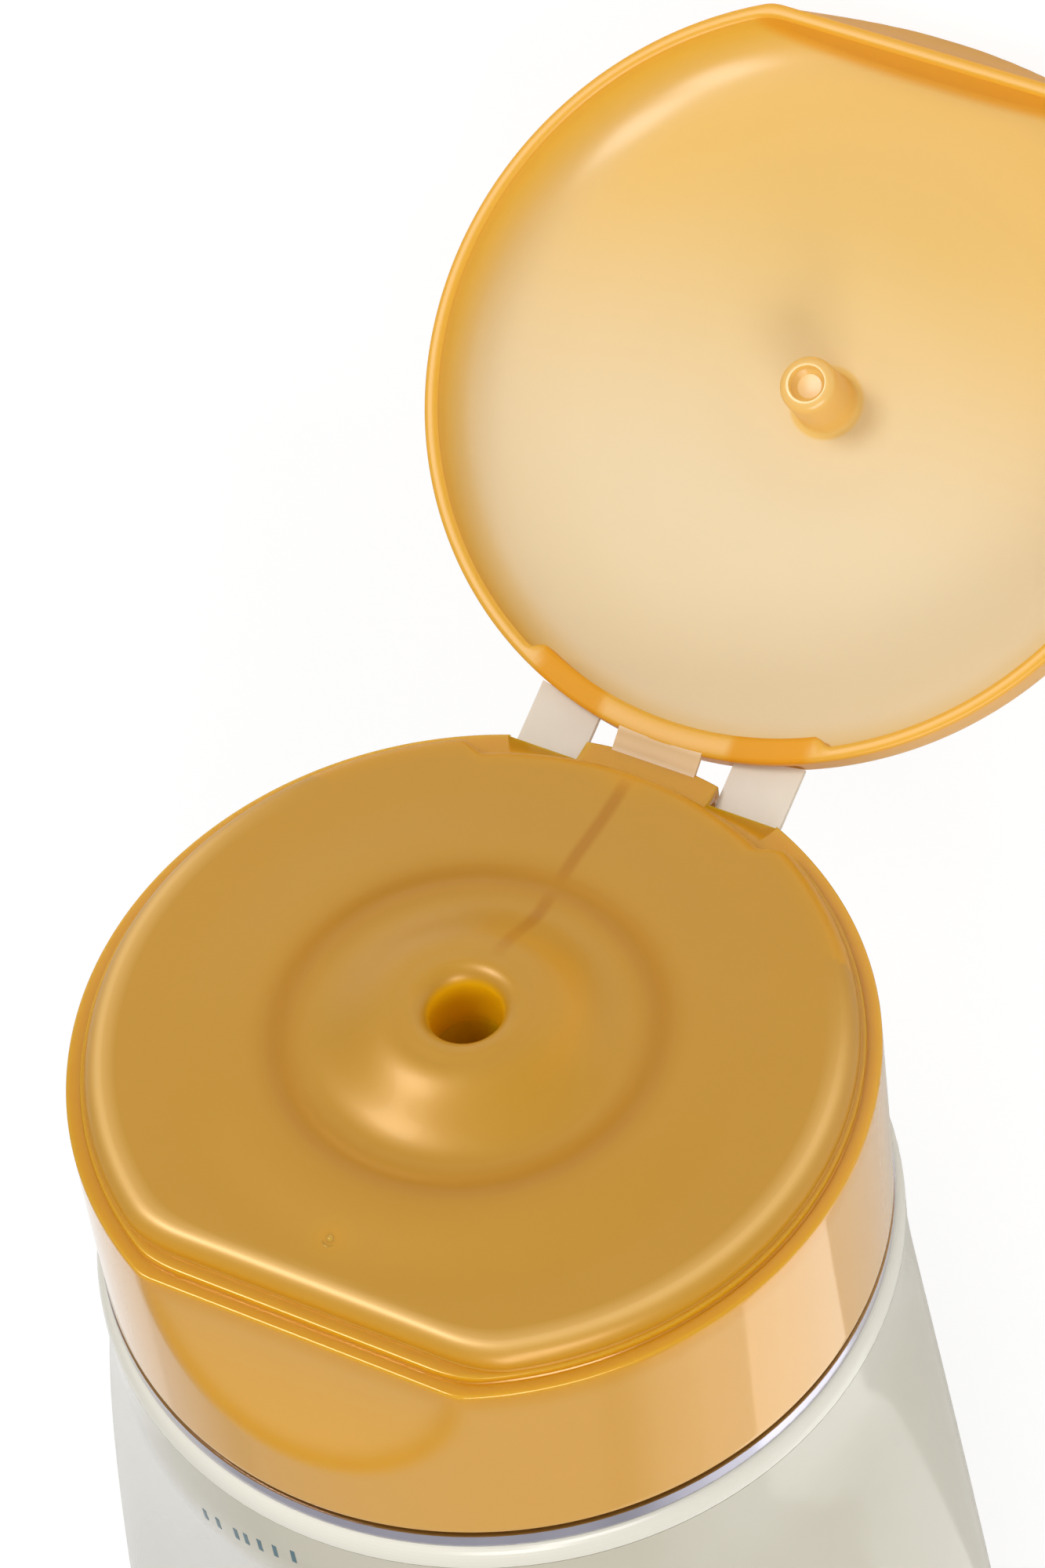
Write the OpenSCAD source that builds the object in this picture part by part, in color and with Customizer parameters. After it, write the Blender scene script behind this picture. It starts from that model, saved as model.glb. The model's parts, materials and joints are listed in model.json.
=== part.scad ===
// A squeeze tube with a one-piece flip-top closure, lid open, lying on its back.
// Everything is modelled upright about the tube's own axis: z = 0 is the ledge that the lid
// closes on, -y is the thumb side and +y the hinge side. laid_down() then rests it on the ground.

/* [Closure] */
// Outer diameter of the closure
closure_d = 50; // [44:1:56]
// Height of the skirt below the ledge
skirt_h = 15; // [13:0.5:20]
// Wall of the skirt
skirt_wall = 1.3; // [1:0.1:1.6]
// Width of the ledge that the lid's rim closes on
ledge_w = 1.3; // [1.2:0.1:1.8]
// Height of the deck's edge above the ledge
deck_h = 2; // [1.6:0.1:2.6]
// Thickness of the deck
deck_t = 1.3; // [1:0.1:1.5]
// Radius of the deck's rounded edge
deck_edge_r = 1; // [0.5:0.1:1.2]
// Further rise of the deck towards its middle
deck_crown = 0.6; // [0.2:0.1:1]
// Height of the small step round the foot of the deck
step_h = 0.5; // [0.3:0.1:0.8]

/* [Thumb recess] */
// Depth of the thumb recess at the ledge
recess_depth = 2.4; // [1.5:0.1:3]
// Height that the thumb recess reaches below and above the ledge
recess_reach = 9.8; // [7:0.2:11]
// Distance from the recess to the deck's straight front edge
front_ledge = 1.9; // [1.7:0.1:2.4]

/* [Spout] */
// Mean diameter of the ring groove in the deck
ring_d = 23.4; // [22:0.2:26]
// Width of the ring groove
ring_w = 2.4; // [0.8:0.2:3]
// Depth of the ring groove
ring_depth = 0.26; // [0.14:0.02:0.5]
// Diameter of the spout's foot
spout_d = 12.4; // [10:0.2:15]
// Height of the spout above the deck's middle
spout_h = 2.3; // [1.6:0.1:3]
// Diameter of the orifice
orifice_d = 4.6; // [4.6:0.1:6]
// Radius of the orifice's rounded mouth
mouth_r = 0.6; // [0.4:0.1:0.8]

/* [Lid] */
// Height of the closed lid above the ledge
lid_h = 8; // [7:0.2:10]
// Wall of the lid
lid_wall = 0.9; // [0.7:0.1:1.1]
// Height of the lid's upright rim
lid_rim_h = 1.8; // [1.4:0.1:2.4]
// Diameter of the lid's flat roof, inside
roof_d = 30.6; // [26:0.2:34]
// Diameter of the sealing pin
pin_d = 3.8; // [3:0.1:3.8]
// Depth that the pin reaches into the orifice
pin_reach = 3; // [2:0.1:4]
// Diameter of the shallow step in the roof round the pin
roof_step_d = 12.4; // [9:0.2:16]

/* [Hinge] */
// Angle of the lid from closed, as it rests
open_angle = 151; // [140:1:165]
// Distance of the fold line outside the closure's wall
fold_out = 0.35; // [0.3:0.05:0.6]
// Height of the fold line above the ledge
fold_up = 0.4; // [0.3:0.05:0.6]
// Width of the middle film
film_w = 5.8; // [4:0.2:7]
// Thickness of the middle film at its fold
film_t = 0.44; // [0.3:0.02:0.6]
// Distance between the two straps
strap_gap = 9.5; // [8.4:0.1:11]
// Width of a strap
strap_w = 4.5; // [3:0.1:5.5]
// Thickness of a strap
strap_t = 0.4; // [0.3:0.05:0.6]
// Distance of a strap's root inside the closure's wall
strap_inset = 1.7; // [1.5:0.1:2]
// Depth of a strap's root below the ledge
strap_drop = 1.32; // [1.1:0.02:1.6]
// Length of a strap at its edge towards the film
strap_inner_len = 3.8; // [3.4:0.1:4]
// Length of a strap at its outer edge
strap_outer_len = 4.6; // [4.2:0.1:4.8]
// Slope of a strap above level, upright tube
strap_slope = 20.8; // [19:0.2:23]

/* [Tube] */
// Diameter of the sleeve at the shoulder
tube_d = 51.2; // [51:0.2:58]
// Length of the sleeve from the shoulder to the crimp
sleeve_len = 125; // [90:1:170]
// Wall of the sleeve
sleeve_wall = 0.6; // [0.4:0.05:0.9]
// Length of the flat crimp
crimp_len = 8; // [5:0.5:14]
// Length over which the sleeve starts to flatten
taper_start = 6; // [4:1:20]
// How much faster the sleeve flattens near the shoulder, 1 for evenly
taper_bow = 1.35; // [1:0.05:1.5]
// Height of the shoulder's rounded edge
shoulder_r = 1.6; // [1:0.1:2.4]
// Thickness of the shoulder
shoulder_t = 1.3; // [1:0.1:1.8]
// Depth of the shoulder's welded edge inside the sleeve
weld_len = 2.5; // [1.5:0.1:4]
// Outer diameter of the neck
neck_d = 21; // [19:0.2:21.4]
// Wall of the neck
neck_wall = 1.6; // [1.2:0.1:2]
// Height of the snap bead on the neck
bead_h = 0.45; // [0.3:0.05:0.6]

/* [Foil band] */
// Height of the foil band under the skirt
band_h = 1; // [0.6:0.1:1.4]
// Thickness of the foil band
band_t = 0.8; // [0.5:0.1:1]

/* [Clearances] */
// Gap between the closed lid's rim and the ledge
rim_gap = 0.1; // [0.05:0.05:0.2]
// Radial gap between the neck and the closure's collar or seal
neck_gap = 0.1; // [0.05:0.05:0.15]
// Gap between seated pieces, such as the band and the shoulder
seat_gap = 0.05; // [0.02:0.01:0.1]
// Gap round the fold bead
fold_gap = 0.05; // [0.03:0.01:0.1]
// Gap between a strap and the sides of its pocket
strap_side_gap = 0.15; // [0.1:0.05:0.3]

/* [Hidden] */
$fn = 144;
bit = 0.01;
over = 1;
sleeve_sides = 60;
sleeve_rings = 14;

// Closure, from the ledge outwards
closure_r = closure_d/2;
deck_r = closure_r - ledge_w;
step_gap = 0.05;
step_w = ledge_w - lid_wall - step_gap;
step_edge = 0.1;
skirt_inner_r = closure_r - skirt_wall;
under_z = deck_h - deck_t;
edge_band_w = 4.4;
flat_r = deck_r - edge_band_w;
middle_z = deck_h + deck_crown;
ring_r = ring_d/2;
ring_outer_r = ring_r + ring_w/2;
slab_inner_r = (flat_r + ring_outer_r)/2;
slab_low_z = deck_h - 0.6*deck_t;
crown_low_z = deck_h - 0.8*deck_t;
spout_foot_r = spout_d/2 + 1.2;
spout_top_z = middle_z + spout_h;
orifice_r = orifice_d/2;
lip_r = orifice_r + mouth_r;
lip_w = 1.1;
lip_drop = 0.12;
nozzle_wall = 1.35;
nozzle_z = -2.2;
edge_r = 0.3;

// Thumb recess: a level cylinder cut that is deepest at the ledge
recess_y = closure_r - recess_depth;
recess_r = (pow(recess_reach, 2) + pow(recess_depth, 2))/(2*recess_depth);
front_y = -recess_y + front_ledge;
step_y = -recess_y + lid_wall + step_gap;

// Neck, collar and seal
neck_r = neck_d/2;
neck_inner_r = neck_r - neck_wall;
neck_top_z = -0.2;
collar_r = neck_r + neck_gap;
collar_wall = 1.2;
collar_top_z = 0.3;
collar_z = 3.1 - skirt_h;
seal_r = neck_inner_r - neck_gap;
seal_wall = 0.8;
seal_z = -3.5;
bead_z = -skirt_h/2 + 0.5;
bead_w = 1.2;

// Shoulder, band and sleeve
tube_r = tube_d/2;
cone_gap = 0.4;
cone_top_z = collar_z - cone_gap;
skirt_clear = 0.25;
band_top_z = -skirt_h - skirt_clear;
band_z = band_top_z - band_h;
band_r = closure_r + 0.05;
seat_r = band_r - band_t - seat_gap;
seat_edge = 0.3;
shoulder_top_z = band_z - seat_gap;
shoulder_w = 0.7;
sleeve_top_z = shoulder_top_z - shoulder_r;
weld_margin = 0.5;
taper_z = sleeve_top_z - weld_len - weld_margin;
weld_r = tube_r - sleeve_wall - 2*seat_gap;
weld_wall = 0.9;
weld_inner_r = weld_r - weld_wall;
cone_under_z = cone_top_z - shoulder_t - 0.6;
crimp_half_t = sleeve_wall;
taper_len = sleeve_len - weld_len - weld_margin;
crimp_top_z = taper_z - taper_len;
crimp_blunt = 0.7;
crimp_inner_z = crimp_top_z + 3;
tube_end_z = crimp_top_z - crimp_len;
gel_gap = 0.1;
gel_cone_gap = 0.2;
gel_top_z = cone_top_z - 0.5;
gel_end_z = crimp_top_z + 5;

// Hinge: the fold line is level, behind the closure's wall
fold_y = closure_r + fold_out;
fold_r = film_t/2;
strap_y = closure_r - strap_inset;
strap_x = strap_gap/2 + strap_w/2;
strap_clear = 0.15;
pocket_half_w = strap_w/2 + strap_side_gap;
pocket_y = strap_y - strap_t/2 - strap_clear;
pocket_room = 0.4;
pocket_z = -strap_drop - strap_t/2 - pocket_room;
lid_pocket_room = 0.5;
lid_pocket_z = strap_drop + lid_pocket_room;
lid_pocket_low_z = 0.9;
lid_pocket_back = 0.1;
lid_pocket_y = strap_y - lid_pocket_back;
seat_wall = 0.35;
base_seat_wall = 1;
rear_margin = 1.6;
rear_half_w = strap_gap/2 + strap_w + rear_margin;
rear_side_gap = 0.45;
lid_rear_half_w = rear_half_w - rear_side_gap;
lid_rear_r = strap_y;
rear_step = 0.45;
rear_r = pocket_y - rear_step;

// Film: each half grows from its wall and thins towards the fold line
film_root = 0.8;
film_bend = 0.32;
film_low = 0.4;
film_high = 0.95;
film_split = 0.03;

// Lid, in the closed place
lid_inner_r = closure_r - lid_wall;
roof_t = 1.2;
roof_z = lid_h - roof_t;
roof_r = roof_d/2;
roof_inset = 0.8;
roof_out_r = roof_r - roof_inset;
roof_step_h = 0.12;
dome_out_h = lid_h - lid_rim_h;
dome_in_z = lid_rim_h - 0.6;
pin_r = pin_d/2;
pin_tip_z = spout_top_z - pin_reach;
pin_edge_r = 0.7;
pin_cup_r = 0.58*pin_r;
pin_cup_depth = 0.8;
pin_taper_z = spout_top_z - 0.3;
pin_flare = 0.15;
pin_root_r = pin_r + pin_flare;
pin_join = 0.3;

// Rest: the tube lies on its crimp and on the open lid's front
function opened(y, z) = let (a = open_angle, u = y - fold_y, w = z - fold_up)
    [fold_y + u*cos(a) + w*sin(a), fold_up - u*sin(a) + w*cos(a)];
function recess_at(z) = recess_y + recess_r - sqrt(max(0, pow(recess_r, 2) - z*z));
lid_front = [for (i = [0:2:180]) let (u = i/2,
    r = roof_out_r + (closure_r - roof_out_r)*cos(u), z = lid_rim_h + dome_out_h*sin(u))
    opened(-min(r, recess_at(z)), z)];
rest_tilt = max([for (p = lid_front) atan2(p[0] - crimp_half_t, p[1] - tube_end_z)]);
rim_front = opened(-recess_y, rim_gap);
front_s = rim_front[0]*sin(rest_tilt) + rim_front[1]*cos(rest_tilt);
back_s = tube_end_z*cos(rest_tilt) - crimp_half_t*sin(rest_tilt);
rest_h = crimp_half_t*cos(rest_tilt) - tube_end_z*sin(rest_tilt);

// Half depth and half width of the flattening sleeve, at a share f of its taper
function eased(d) = (d < taper_start ? d*d/(2*taper_start) : d - taper_start/2)
    /(taper_len - taper_start/2);
function half_depth(r, f) = r*(1 - f) + crimp_half_t*f;
function half_width(r, f) = let (b = half_depth(r, f),
    k = 1 + (PI/(2*sqrt(2)) - 1)*pow(f, 1.4)) sqrt(2*pow(k*r, 2) - b*b);
function sleeve_ring(z, inset) = let (e = z > taper_z ? 0 : min(1, eased(taper_z - z)),
    f = 1 - pow(1 - e, taper_bow), a = half_width(tube_r, f) - inset,
    b = half_depth(tube_r, f) - inset, blunt = 1 - crimp_blunt*pow(f, 8))
    [for (i = [0:sleeve_sides - 1]) let (t = 360*i/sleeve_sides)
        [a*cos(t), b*sign(sin(t))*pow(abs(sin(t)), blunt), z]];
function sleeve_levels(top, bottom) = let (start = min(taper_z, top - bit))
    concat([top], [for (i = [0:sleeve_rings]) start + (bottom - start)*i/sleeve_rings]);

// A closed skin over rings of points, all with as many points
module skin(rings) {
    n = len(rings[0]);
    last = len(rings) - 1;
    polyhedron(
        points = [for (ring = rings) for (p = ring) p],
        faces = concat(
            [[for (i = [n - 1:-1:0]) i]],
            [[for (i = [0:n - 1]) last*n + i]],
            [for (k = [0:last - 1]) for (i = [0:n - 1]) let (j = (i + 1)%n)
                each [[k*n + i, (k + 1)*n + j, (k + 1)*n + i], [k*n + i, k*n + j, (k + 1)*n + j]]]
        )
    );
}

module turned(points) rotate_extrude() polygon(points);

module ring(inner_r, outer_r, z0, z1) rotate_extrude()
    translate([inner_r, z0]) square([outer_r - inner_r, z1 - z0]);

// A profile in y and z, drawn along x over a width
module along_x(width) rotate([90, 0, 90]) translate([0, 0, -width/2]) linear_extrude(width) children();

module on_both_sides() for (side = [-1, 1]) translate([side*strap_x, 0, 0]) children();

module laid_down() translate([0, (front_s + back_s)/2, rest_h])
    rotate([0, 0, 180]) rotate([rest_tilt - 90, 0, 0]) children();

module opened_lid() translate([0, fold_y, fold_up]) rotate([-open_angle, 0, 0])
    translate([0, -fold_y, -fold_up]) children();

// The recess is grown by the wall where it shapes an inner surface
module recess_cut(grow) translate([0, -recess_y - recess_r, 0]) rotate([0, 90, 0])
    cylinder(r = recess_r + grow, h = 2*closure_d, center = true);

function quarter(steps) = [for (i = [0:steps]) 90*i/steps];

// A level start and end at the points p and q, with a smooth slope between them
function s_curve(p, q, steps) = [for (i = [0:steps]) let (f = i/steps)
    [p[0] + (q[0] - p[0])*f, p[1] + (q[1] - p[1])*(1 - cos(180*f))/2]];

// Slab of the deck with its rounded edge, the small step round its foot and its straight front
module deck_slab(r) intersection() {
    turned(concat(
        [[0, -deck_t], [r + step_w, -deck_t], [r + step_w, step_h - step_edge],
         [r + step_w - step_edge, step_h], [r, step_h]],
        [for (u = quarter(6)) [r - deck_edge_r*(1 - cos(u)), deck_h - deck_edge_r*(1 - sin(u))]],
        [[slab_inner_r, deck_h], [slab_inner_r, slab_low_z], [0, slab_low_z]]
    ));
    along_x(2*closure_d) polygon(concat(
        [[2*closure_r, deck_h + over], [2*closure_r, -deck_t - over], [step_y, -deck_t - over],
         [step_y, step_h], [front_y, step_h]],
        [for (u = quarter(6)) [front_y + deck_edge_r*(1 - cos(u)), deck_h - deck_edge_r*(1 - sin(u))]],
        [[front_y + deck_edge_r, deck_h + over]]
    ));
}

// Crown of the deck, with its ring groove and the spout
module deck_crown() turned(concat(
    [[0, crown_low_z], [flat_r, crown_low_z]],
    s_curve([flat_r, deck_h], [ring_outer_r, middle_z], 6),
    [for (i = [1:5]) [ring_outer_r - ring_w*i/6, middle_z - ring_depth*sin(30*i)]],
    [[ring_outer_r - ring_w, middle_z]],
    s_curve([spout_foot_r, middle_z], [lip_r + lip_w, spout_top_z - lip_drop], 8),
    [for (u = quarter(4)) [lip_r + lip_w*cos(u), spout_top_z - lip_drop*(1 - sin(u))]],
    [[0, spout_top_z]]
));

// Where the deck's edge steps back to let the straps pass
module rear_zone() translate([-rear_half_w, rear_r/2, -deck_t - over])
    cube([2*rear_half_w, closure_r, deck_t + deck_h + 2*over]);

module mouth_cut() turned(concat(
    [[0, spout_top_z + over], [lip_r, spout_top_z + over]],
    [for (u = quarter(5)) [orifice_r + mouth_r*(1 - sin(u)), spout_top_z - mouth_r*(1 - cos(u))]],
    [[0, spout_top_z - mouth_r]]
));

// Strap pockets, cut through the wall from outside
module strap_pocket(y, z0, z1) translate([-pocket_half_w, y, z0])
    cube([2*pocket_half_w, closure_r, z1 - z0]);

// Halves of the film that meet at the fold line, below and above it
module film_half(up) {
    s = up ? 1 : -1;
    z = fold_up + s*film_split;
    root_y = fold_y - film_root;
    along_x(film_w) difference() {
        polygon([[root_y, fold_up + s*film_low], [root_y, fold_up + s*film_high],
            [fold_y - film_bend, fold_up + s*film_high], [fold_y, fold_up + s*fold_r],
            [fold_y, z], [fold_y - fold_r, z], [closure_r, fold_up + s*film_low]]);
        if (up) translate([fold_y, fold_up]) circle(r = fold_r + fold_gap);
    }
}

// Wall behind the strap pockets, between the skirt and the deck
module strap_seat() intersection() {
    translate([-rear_half_w, pocket_y - base_seat_wall, pocket_z - base_seat_wall])
        cube([2*rear_half_w, closure_r, base_seat_wall - pocket_z]);
    cylinder(r = skirt_inner_r + skirt_wall/2, h = 2*skirt_h, center = true);
}

module hollow_under_deck() {
    difference() {
        union() {
            ring(collar_r + collar_wall, skirt_inner_r, -skirt_h - over, -deck_t);
            translate([0, 0, -skirt_h - over]) cylinder(r = skirt_inner_r, h = over + skirt_h + collar_z);
        }
        recess_cut(skirt_wall);
    }
    difference() {
        ring(collar_r + collar_wall, rear_r - deck_t, -deck_t - over, under_z);
        translate([-closure_r, front_y + deck_t - closure_d, -closure_r]) cube(closure_d);
    }
    ring(seal_r, collar_r, collar_z - over, collar_top_z);
    translate([0, 0, bead_z])
        ring(seal_r, collar_r + bead_h + neck_gap, -bead_w/2 - neck_gap, bead_w/2 + neck_gap);
    translate([0, 0, collar_z - over]) cylinder(r = collar_r, h = seal_z - collar_z + over);
    ring(orifice_r + nozzle_wall, seal_r - seal_wall, seal_z - over, middle_z - deck_t);
    translate([0, 0, seal_z - over]) cylinder(r = seal_r - seal_wall, h = nozzle_z - seal_z + over);
}

module closure_base() color("#d29a3a") laid_down() {
    difference() {
        union() {
            difference() {
                union() {
                    turned([[0, -skirt_h], [closure_r - edge_r, -skirt_h], [closure_r, -skirt_h + edge_r],
                        [closure_r, -edge_r/2], [closure_r - edge_r/2, 0], [0, 0]]);
                    difference() {
                        deck_slab(deck_r);
                        rear_zone();
                    }
                    deck_slab(rear_r);
                    deck_crown();
                }
                recess_cut(0);
                hollow_under_deck();
            }
            strap_seat();
        }
        translate([0, 0, nozzle_z - over]) cylinder(r = orifice_r, h = spout_top_z - nozzle_z + 2*over);
        mouth_cut();
        on_both_sides() strap_pocket(pocket_y, pocket_z, spout_top_z);
    }
    film_half(false);
    translate([0, fold_y, fold_up]) rotate([0, 90, 0]) cylinder(r = fold_r, h = film_w, center = true);
}

// The lid's wall is thicker where the straps enter it
module lid_rear_wall() difference() {
    translate([-lid_rear_half_w, 0, rim_gap - over])
        cube([2*lid_rear_half_w, closure_r, lid_pocket_z + seat_wall - rim_gap + over]);
    cylinder(r = lid_rear_r, h = 2*lid_h, center = true);
}

module lid_shell() difference() {
    turned(concat([[0, rim_gap], [closure_r - edge_r/2, rim_gap], [closure_r, rim_gap + edge_r/2]],
        [for (u = quarter(20)) [roof_out_r + (closure_r - roof_out_r)*cos(u),
            lid_rim_h + dome_out_h*sin(u)]],
        [[0, lid_h]]));
    recess_cut(0);
    difference() {
        turned(concat([[0, rim_gap - over], [lid_inner_r, rim_gap - over]],
            [for (u = quarter(20)) [roof_r + (lid_inner_r - roof_r)*cos(u),
                dome_in_z + (roof_z - dome_in_z)*sin(u)]], [[0, roof_z]]));
        recess_cut(lid_wall);
        lid_rear_wall();
    }
    translate([0, 0, roof_z - over]) cylinder(d = roof_step_d, h = over + roof_step_h);
    on_both_sides() strap_pocket(lid_pocket_y, lid_pocket_low_z, lid_pocket_z);
}

module sealing_pin() difference() {
    turned(concat([[0, pin_tip_z]],
        [for (u = quarter(5)) [pin_r - pin_edge_r*(1 - sin(u)), pin_tip_z + pin_edge_r*(1 - cos(u))]],
        [[pin_r, pin_taper_z], [pin_root_r, roof_z + pin_join], [0, roof_z + pin_join]]));
    translate([0, 0, pin_tip_z - bit]) cylinder(r = pin_cup_r, h = pin_cup_depth);
}

module lid() color("#eec27a") laid_down() opened_lid() {
    lid_shell();
    sealing_pin();
    film_half(true);
}

// A strap lies in its own sloping plane, from the base's pocket to the lid's pocket
module hinge_strap(side) color("#e2d6c6") laid_down()
    translate([side*strap_x, strap_y, -strap_drop]) rotate([strap_slope, 0, 0])
    translate([0, 0, -strap_t/2]) linear_extrude(strap_t)
        polygon([[-strap_w/2, 0], [strap_w/2, 0],
            [strap_w/2, side > 0 ? strap_outer_len : strap_inner_len],
            [-strap_w/2, side > 0 ? strap_inner_len : strap_outer_len]]);
module hinge_strap_left() hinge_strap(-1);
module hinge_strap_right() hinge_strap(1);

module foil_band() color("#c4c2cc") laid_down() ring(seat_r + seat_gap, band_r, band_z, band_top_z);

// Neck, sloping shoulder, band seat, rounded edge, and the edge welded inside the sleeve
module tube_head() color("#ddd8cc") laid_down() turned(concat(
    [[neck_inner_r, neck_top_z], [neck_r - edge_r, neck_top_z], [neck_r, neck_top_z - edge_r],
     [neck_r, bead_z + bead_w/2], [neck_r + bead_h, bead_z + bead_w/4],
     [neck_r + bead_h, bead_z - bead_w/4], [neck_r, bead_z - bead_w/2], [neck_r, cone_top_z],
     [seat_r - seat_edge, band_top_z],
     [seat_r, band_top_z - seat_edge], [seat_r, shoulder_top_z]],
    [for (u = quarter(8)) [tube_r - shoulder_w*(1 - sin(u)), sleeve_top_z + shoulder_r*cos(u)]],
    [[weld_r, sleeve_top_z], [weld_r, sleeve_top_z - weld_len],
     [weld_inner_r, sleeve_top_z - weld_len], [weld_inner_r, sleeve_top_z - shoulder_t],
     [neck_inner_r, cone_under_z]]
));

module sleeve() color("#dcd6c9") laid_down() difference() {
    skin([for (z = concat(sleeve_levels(sleeve_top_z - seat_gap, crimp_top_z), [tube_end_z]))
        sleeve_ring(z, 0)]);
    skin([for (z = sleeve_levels(sleeve_top_z + over, crimp_inner_z)) sleeve_ring(z, sleeve_wall)]);
}

module gel_fill() color("#e8eef0") laid_down() {
    skin([for (z = sleeve_levels(taper_z, gel_end_z)) sleeve_ring(z, sleeve_wall + gel_gap)]);
    turned([[0, gel_top_z], [neck_inner_r - gel_gap, gel_top_z],
        [neck_inner_r - gel_gap, cone_under_z - gel_cone_gap],
        [weld_inner_r - gel_gap, sleeve_top_z - shoulder_t - gel_cone_gap],
        [weld_inner_r - gel_gap, taper_z - over], [0, taper_z - over]]);
}

sleeve();
tube_head();
gel_fill();
foil_band();
closure_base();
hinge_strap_left();
hinge_strap_right();
lid();
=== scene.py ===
import json
import math

import bmesh
import bpy
from mathutils import Matrix, Vector


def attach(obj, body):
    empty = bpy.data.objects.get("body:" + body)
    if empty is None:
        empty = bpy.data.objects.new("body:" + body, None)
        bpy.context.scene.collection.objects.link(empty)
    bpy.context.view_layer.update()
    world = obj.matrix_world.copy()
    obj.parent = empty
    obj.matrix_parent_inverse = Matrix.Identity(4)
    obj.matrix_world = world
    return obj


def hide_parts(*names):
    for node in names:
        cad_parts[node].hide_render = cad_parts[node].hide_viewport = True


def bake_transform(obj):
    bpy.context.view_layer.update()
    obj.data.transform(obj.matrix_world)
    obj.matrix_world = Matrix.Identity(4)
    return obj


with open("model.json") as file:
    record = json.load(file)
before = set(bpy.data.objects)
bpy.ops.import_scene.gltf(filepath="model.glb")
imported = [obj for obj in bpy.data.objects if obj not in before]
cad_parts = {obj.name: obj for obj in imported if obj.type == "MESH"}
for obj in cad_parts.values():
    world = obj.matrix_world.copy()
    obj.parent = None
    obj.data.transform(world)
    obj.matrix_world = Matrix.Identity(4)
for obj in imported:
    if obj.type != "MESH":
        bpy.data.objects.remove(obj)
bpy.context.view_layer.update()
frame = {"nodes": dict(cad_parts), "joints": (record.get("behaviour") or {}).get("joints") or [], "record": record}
print("frame loaded", len(frame["nodes"]), "nodes")

# Places: pieces are made in millimetres about the tube's axis, then carried into the row frame
closure = {"radius": 25.0, "skirt": 15.0, "foldOut": 0.35, "foldUp": 0.4, "openAngle": 151.0}
orifice = next(m for m in frame["record"]["mounts"] if m["name"] == "orifice")
hinge = next(j for j in frame["joints"] if j["name"] == "lid_hinge")
upAxis = Vector(orifice["axis"])
rightAxis = Vector((-1, 0, 0))
backAxis = upAxis.cross(rightAxis)
turnToRow = Matrix((rightAxis, backAxis, upAxis)).transposed().to_4x4()
foldPoint = Vector((0, closure["radius"] + closure["foldOut"], closure["foldUp"]))
scaleToRow = Matrix.Scale(0.001, 4)
closureToRow = (
    Matrix.Translation(Vector(hinge["pos_m"]))
    @ turnToRow
    @ scaleToRow
    @ Matrix.Translation(-foldPoint)
)
lidToRow = (
    closureToRow
    @ Matrix.Translation(foldPoint)
    @ Matrix.Rotation(-math.radians(closure["openAngle"]), 4, "X")
    @ Matrix.Translation(-foldPoint)
)


def softMin(a, b, k):
    h = max(0.0, k - abs(a - b)) / k
    return min(a, b) - h * h * k / 4


def ease(x, start, end):
    t = min(1.0, max(0.0, (x - start) / (end - start)))
    return t * t * (3 - 2 * t)


def quarter(steps):
    return [math.pi / 2 * i / steps for i in range(steps + 1)]


def slope(p, q, steps):
    points = []
    for i in range(steps + 1):
        f = i / steps
        rise = (1 - math.cos(math.pi * f)) / 2
        points.append((p[0] + (q[0] - p[0]) * f, p[1] + (q[1] - p[1]) * rise))
    return points


def hump(x, middle, width):
    return math.exp(-(((x - middle) / width) ** 2))


# Thumb recess: the level cylinder cut in the skirt, which the lid takes up with a shorter reach
recess = {"depth": 2.4, "reach": 9.8, "soft": 0.3}
recessFront = closure["radius"] - recess["depth"]
frontShare = 0.2  # how far an angle has to face the front before the flat faces there count


def recessAt(z, reach):
    turn = (reach**2 + recess["depth"] ** 2) / (2 * recess["depth"])
    if abs(z) >= turn:
        return recessFront + turn
    return recessFront + turn - math.sqrt(turn**2 - z * z)


def cutByRecess(radius, angle, z, reach, inset=0):
    towardsFront = -math.sin(angle)
    if towardsFront < frontShare:
        return radius
    return softMin(radius, (recessAt(z, reach) - inset) / towardsFront, recess["soft"])


# Meshes from rings of points, each with as many points, joined into one closed skin
def ringOfPoints(sides, radiusAt, height):
    points = []
    for i in range(sides):
        angle = 2 * math.pi * i / sides
        radius = radiusAt(angle)
        points.append(Vector((radius * math.cos(angle), radius * math.sin(angle), height)))
    return points


def skinOfRings(mesh, rings, looped):
    loops = [[mesh.verts.new(p) for p in ring] for ring in rings]
    pairs = list(zip(loops, loops[1:]))
    if looped:
        pairs.append((loops[-1], loops[0]))
    sides = len(loops[0])
    for first, second in pairs:
        for i in range(sides):
            j = (i + 1) % sides
            mesh.faces.new((first[i], first[j], second[j], second[i]))
    if not looped:
        for loop in (loops[0], loops[-1]):
            centre = mesh.verts.new(sum((v.co for v in loop), Vector()) / sides)
            for i in range(sides):
                mesh.faces.new((loop[i], loop[(i + 1) % sides], centre))


def boxOfMesh(mesh, low, high):
    made = bmesh.ops.create_cube(mesh, size=1)
    for v in made["verts"]:
        v.co = Vector([low[i] if v.co[i] < 0 else high[i] for i in range(3)])


def asObject(name, mesh, sharpAngle=35):
    bmesh.ops.recalc_face_normals(mesh, faces=mesh.faces)
    data = bpy.data.meshes.new(name)
    mesh.to_mesh(data)
    mesh.free()
    for polygon in data.polygons:
        polygon.use_smooth = True
    data.set_sharp_from_angle(angle=math.radians(sharpAngle))
    piece = bpy.data.objects.new(name, data)
    bpy.context.collection.objects.link(piece)
    return piece


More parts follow.
